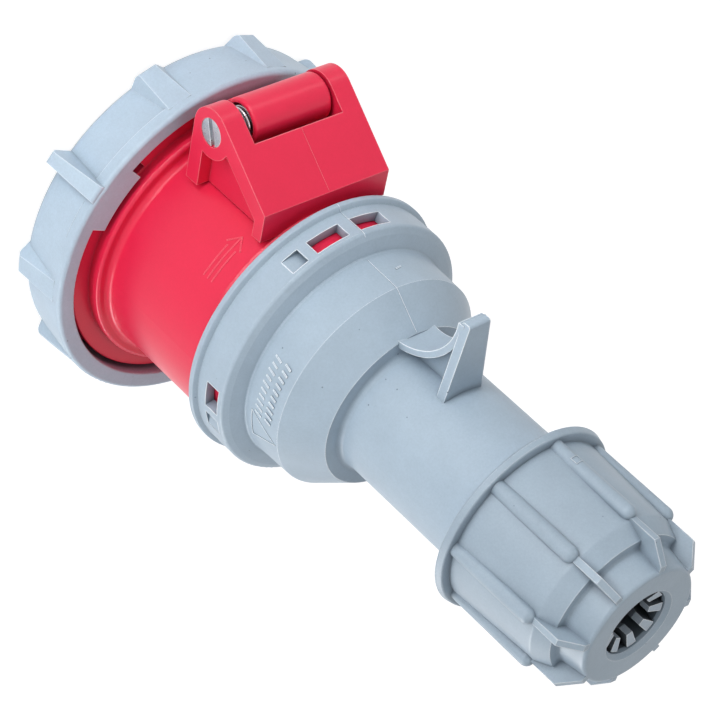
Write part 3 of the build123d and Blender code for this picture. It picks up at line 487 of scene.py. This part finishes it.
def makeRamps(name, settings):
    find = findOn[settings["node"]]
    low, high = settings["low"], settings["high"]
    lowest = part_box(settings["node"])[0].z

    def build(work):
        for start, end in settings["spans"]:
            floor = find(start + settings["probe"], (low + high) / 2)[0].xy.length
            band = find(end + settings["probe"], (low + high) / 2)[0].xy.length - settings["inset"] * mm
            base = floor - settings["root"] * mm
            rings = []
            for step in range(settings["steps"] + 1):
                share = step / settings["steps"]
                outward = outwardAt(start + (end - start) * share)
                top = floor + (band - floor) * share
                corners = ((base, low), (top, low), (top, high), (base, high))
                rings.append([work.verts.new(outward * radius + Vector((0, 0, lowest + height * mm)))
                              for radius, height in corners])
            joinRings(work, rings)

    addMesh(name, build, settings)


makeRamps("pocket_ramps", pocketRamps)
print("pocket ramps made")


# Raised bars in rows round the housing, from a node group
pressBars = {"node": "rear_housing", "slot": "grey_plastic", "body": "housing_body"}
barInputs = {
    "count": 10, "rows": 2, "radius": 28.2 * mm, "firstAngle": math.radians(62.5),
    "angleStep": math.radians(3.4), "firstHeight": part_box("rear_housing")[0].z + 16.6 * mm,
    "rowStep": 3.3 * mm, "barWidth": 0.5 * mm, "barLength": 2.5 * mm, "barRise": 0.13 * mm,
    "lean": math.radians(14), "shortest": 0.7, "seed": 4,
}


def barGroup():
    tree = bpy.data.node_groups.new("raisedBars", "GeometryNodeTree")
    sockets = {}
    for key, kind in (("count", "Int"), ("rows", "Int"), ("radius", "Float"), ("firstAngle", "Float"),
                      ("angleStep", "Float"), ("firstHeight", "Float"), ("rowStep", "Float"),
                      ("barWidth", "Float"), ("barLength", "Float"), ("barRise", "Float"),
                      ("lean", "Float"), ("shortest", "Float"), ("seed", "Int"), ("material", "Material")):
        socket = tree.interface.new_socket(name=key, in_out="INPUT", socket_type="NodeSocket" + kind)
        sockets[key] = socket.identifier
    tree.interface.new_socket(name="Geometry", in_out="OUTPUT", socket_type="NodeSocketGeometry")
    entry = tree.nodes.new("NodeGroupInput").outputs
    result = tree.nodes.new("NodeGroupOutput").inputs

    def link(value, socket):
        if isinstance(value, bpy.types.NodeSocket):
            tree.links.new(value, socket)
        else:
            socket.default_value = value

    def maths(operation, first, second=0.0):
        node = tree.nodes.new("ShaderNodeMath")
        node.operation = operation
        link(first, node.inputs[0])
        link(second, node.inputs[1])
        return node.outputs[0]

    def vector(x, y, z):
        node = tree.nodes.new("ShaderNodeCombineXYZ")
        for value, socket in zip((x, y, z), node.inputs):
            link(value, socket)
        return node.outputs[0]

    # one point for each bar, row by row round the axis
    index = tree.nodes.new("GeometryNodeInputIndex").outputs[0]
    row = maths("FLOOR", maths("DIVIDE", index, entry["count"]))
    column = maths("MODULO", index, entry["count"])
    angle = maths("ADD", entry["firstAngle"], maths("MULTIPLY", column, entry["angleStep"]))
    height = maths("ADD", entry["firstHeight"], maths("MULTIPLY", row, entry["rowStep"]))
    across = maths("MULTIPLY", entry["radius"], maths("SINE", angle))
    along = maths("MULTIPLY", entry["radius"], maths("MULTIPLY", maths("COSINE", angle), -1.0))
    points = tree.nodes.new("GeometryNodePoints")
    link(maths("MULTIPLY", entry["count"], entry["rows"]), points.inputs["Count"])
    link(vector(across, along, height), points.inputs["Position"])

    # a leaning bar of its own length on each point
    bar = tree.nodes.new("GeometryNodeMeshCube")
    depth = maths("MULTIPLY", entry["barRise"], 2.0)
    link(vector(entry["barWidth"], depth, entry["barLength"]), bar.inputs["Size"])
    change = tree.nodes.new("FunctionNodeRandomValue")
    change.data_type = "FLOAT"
    lowest, highest = [socket for socket in change.inputs if socket.enabled][:2]
    link(entry["shortest"], lowest)
    link(1.0, highest)
    link(entry["seed"], change.inputs["Seed"])
    share = [socket for socket in change.outputs if socket.enabled][0]
    place = tree.nodes.new("GeometryNodeInstanceOnPoints")
    link(points.outputs[0], place.inputs["Points"])
    link(bar.outputs["Mesh"], place.inputs["Instance"])
    link(vector(0.0, entry["lean"], angle), place.inputs["Rotation"])
    link(vector(1.0, 1.0, share), place.inputs["Scale"])

    real = tree.nodes.new("GeometryNodeRealizeInstances")
    link(place.outputs[0], real.inputs[0])
    look = tree.nodes.new("GeometryNodeSetMaterial")
    link(real.outputs[0], look.inputs["Geometry"])
    link(entry["material"], look.inputs["Material"])
    link(look.outputs[0], result[0])
    return tree, sockets


def makeBars(name, settings, inputs):
    tree, sockets = barGroup()
    holder = bpy.data.objects.new(name + "_source", bpy.data.meshes.new(name + "_source"))
    scene.collection.objects.link(holder)
    modifier = holder.modifiers.new("raisedBars", "NODES")
    modifier.node_group = tree
    for key, value in inputs.items():
        modifier[sockets[key]] = value
    modifier[sockets["material"]] = cadNodes[settings["node"]].data.materials[0]
    bpy.context.view_layer.update()
    evaluated = holder.evaluated_get(bpy.context.evaluated_depsgraph_get())
    mesh = bpy.data.meshes.new_from_object(evaluated)
    bpy.data.objects.remove(holder)
    mesh.name = name
    addPiece(name, mesh, settings["slot"], settings["body"])
    print(name, len(mesh.polygons), "faces")


makeBars("press_bars", pressBars, barInputs)
print("raised bars made")


# Floor and surroundings: white to the eye and in reflections, softer as a source of light
studio = {
    "floorSize": 6.0, "floorColour": (0.90, 0.90, 0.90), "floorTone": 0.995, "floorNoise": 3.0,
    "floorRoughness": 0.9, "shadowColour": (0.34, 0.34, 0.35), "floorWhite": 0.87,
    "worldDim": 0.20, "worldBright": 0.85, "brightSide": (0.40, -0.50, -0.77),
}


def seenRay(tree):  # 1 where the camera, a reflection or glass sees the surface
    path = tree.nodes.new("ShaderNodeLightPath")
    total = path.outputs["Is Camera Ray"]
    for other in ("Is Glossy Ray", "Is Transmission Ray"):
        node = tree.nodes.new("ShaderNodeMath")
        node.operation = "MAXIMUM"
        tree.links.new(total, node.inputs[0])
        tree.links.new(path.outputs[other], node.inputs[1])
        total = node.outputs[0]
    return total


def makeFloor(settings):
    half = settings["floorSize"] / 2
    mesh = bpy.data.meshes.new("studioFloor")
    mesh.from_pydata([(-half, -half, 0), (half, -half, 0), (half, half, 0), (-half, half, 0)],
                     [], [(0, 1, 2, 3)])
    floor = bpy.data.objects.new("studioFloor", mesh)
    scene.collection.objects.link(floor)
    material, tree, shader, place = newTree("paleFloor")
    tone = remap(tree, noise(tree, place, settings["floorNoise"], detail=2), midRange)
    darker = [value * settings["floorTone"] for value in settings["floorColour"]]
    tree.links.new(mixColour(tree, tone, settings["floorColour"], darker), shader.inputs["Base Color"])
    seen = tree.nodes.new("ShaderNodeBsdfPrincipled")
    seen.inputs["Base Color"].default_value = (*settings["shadowColour"], 1)
    seen.inputs["Emission Color"].default_value = (1, 1, 1, 1)
    seen.inputs["Emission Strength"].default_value = settings["floorWhite"]
    for matt in (shader, seen):
        matt.inputs["Roughness"].default_value = settings["floorRoughness"]
        matt.inputs["Specular IOR Level"].default_value = 0.0
    choice = tree.nodes.new("ShaderNodeMixShader")
    tree.links.new(seenRay(tree), choice.inputs[0])
    tree.links.new(shader.outputs["BSDF"], choice.inputs[1])
    tree.links.new(seen.outputs["BSDF"], choice.inputs[2])
    output = next(node for node in tree.nodes if node.type == "OUTPUT_MATERIAL")
    tree.links.new(choice.outputs["Shader"], output.inputs["Surface"])
    mesh.materials.append(material)


def makeWorld(settings):
    world = bpy.data.worlds.new("studioWorld")
    world.use_nodes = True
    tree = world.node_tree
    tree.nodes.clear()
    output = tree.nodes.new("ShaderNodeOutputWorld")
    background = tree.nodes.new("ShaderNodeBackground")
    background.inputs["Color"].default_value = (1, 1, 1, 1)
    place = tree.nodes.new("ShaderNodeTexCoord")
    along = tree.nodes.new("ShaderNodeVectorMath")
    along.operation = "DOT_PRODUCT"
    tree.links.new(place.outputs["Generated"], along.inputs[0])
    along.inputs[1].default_value = settings["brightSide"]
    light = remap(tree, along.outputs["Value"], (-1.0, 1.0), (settings["worldDim"], settings["worldBright"]))
    choice = tree.nodes.new("ShaderNodeMix")  # white where it is seen, else the light's strength
    tree.links.new(seenRay(tree), choice.inputs[0])
    tree.links.new(light, choice.inputs[2])
    choice.inputs[3].default_value = 1.0
    tree.links.new(choice.outputs[0], background.inputs["Strength"])
    tree.links.new(background.outputs["Background"], output.inputs["Surface"])
    scene.world = world


makeFloor(studio)
makeWorld(studio)


# Soft lights
softLights = {
    "rightSide": {"place": (1.15, -0.15, 0.30), "aim": (0, 0, 0.08), "width": 0.9, "height": 0.6,
                  "power": 0.6, "colour": (1.0, 0.93, 0.87)},
    "cameraSide": {"place": (0.75, -0.95, 0.65), "aim": (0, 0, 0.08), "width": 0.7, "height": 0.7,
                   "power": 1.1, "colour": (1.0, 0.98, 0.96)},
    "above": {"place": (0.0, -0.1, 1.2), "aim": (0, 0, 0.1), "width": 1.0, "height": 1.0,
              "power": 3.5, "colour": (1.0, 0.96, 0.92)},
    "lowCamera": {"place": (0.34, -0.42, 0.05), "aim": (0, 0, 0), "width": 0.5, "height": 0.08,
                  "power": 1.55, "colour": (1, 1, 1)},
    "lowHinge": {"place": (-0.15, -0.52, 0.05), "aim": (0, 0, 0), "width": 0.5, "height": 0.08,
                 "power": 0.3, "colour": (1, 1, 1)},
    "lowBack": {"place": (0.3, 0.42, 0.05), "aim": (0, 0, 0), "width": 0.5, "height": 0.08,
                "power": 1.35, "colour": (1, 1, 1)},
}


def makeLight(name, settings):
    data = bpy.data.lights.new(name, "AREA")
    data.shape = "RECTANGLE"
    data.size = settings["width"]
    data.size_y = settings["height"]
    data.energy = settings["power"]
    data.color = settings["colour"]
    light = bpy.data.objects.new(name, data)
    scene.collection.objects.link(light)
    place = Vector(settings["place"])
    light.location = place
    light.rotation_mode = "QUATERNION"
    light.rotation_quaternion = (Vector(settings["aim"]) - place).to_track_quat("-Z", "Y")


for lightName, lightSettings in softLights.items():
    makeLight(lightName, lightSettings)
scene.view_settings.view_transform = "Standard"
print("studio made")
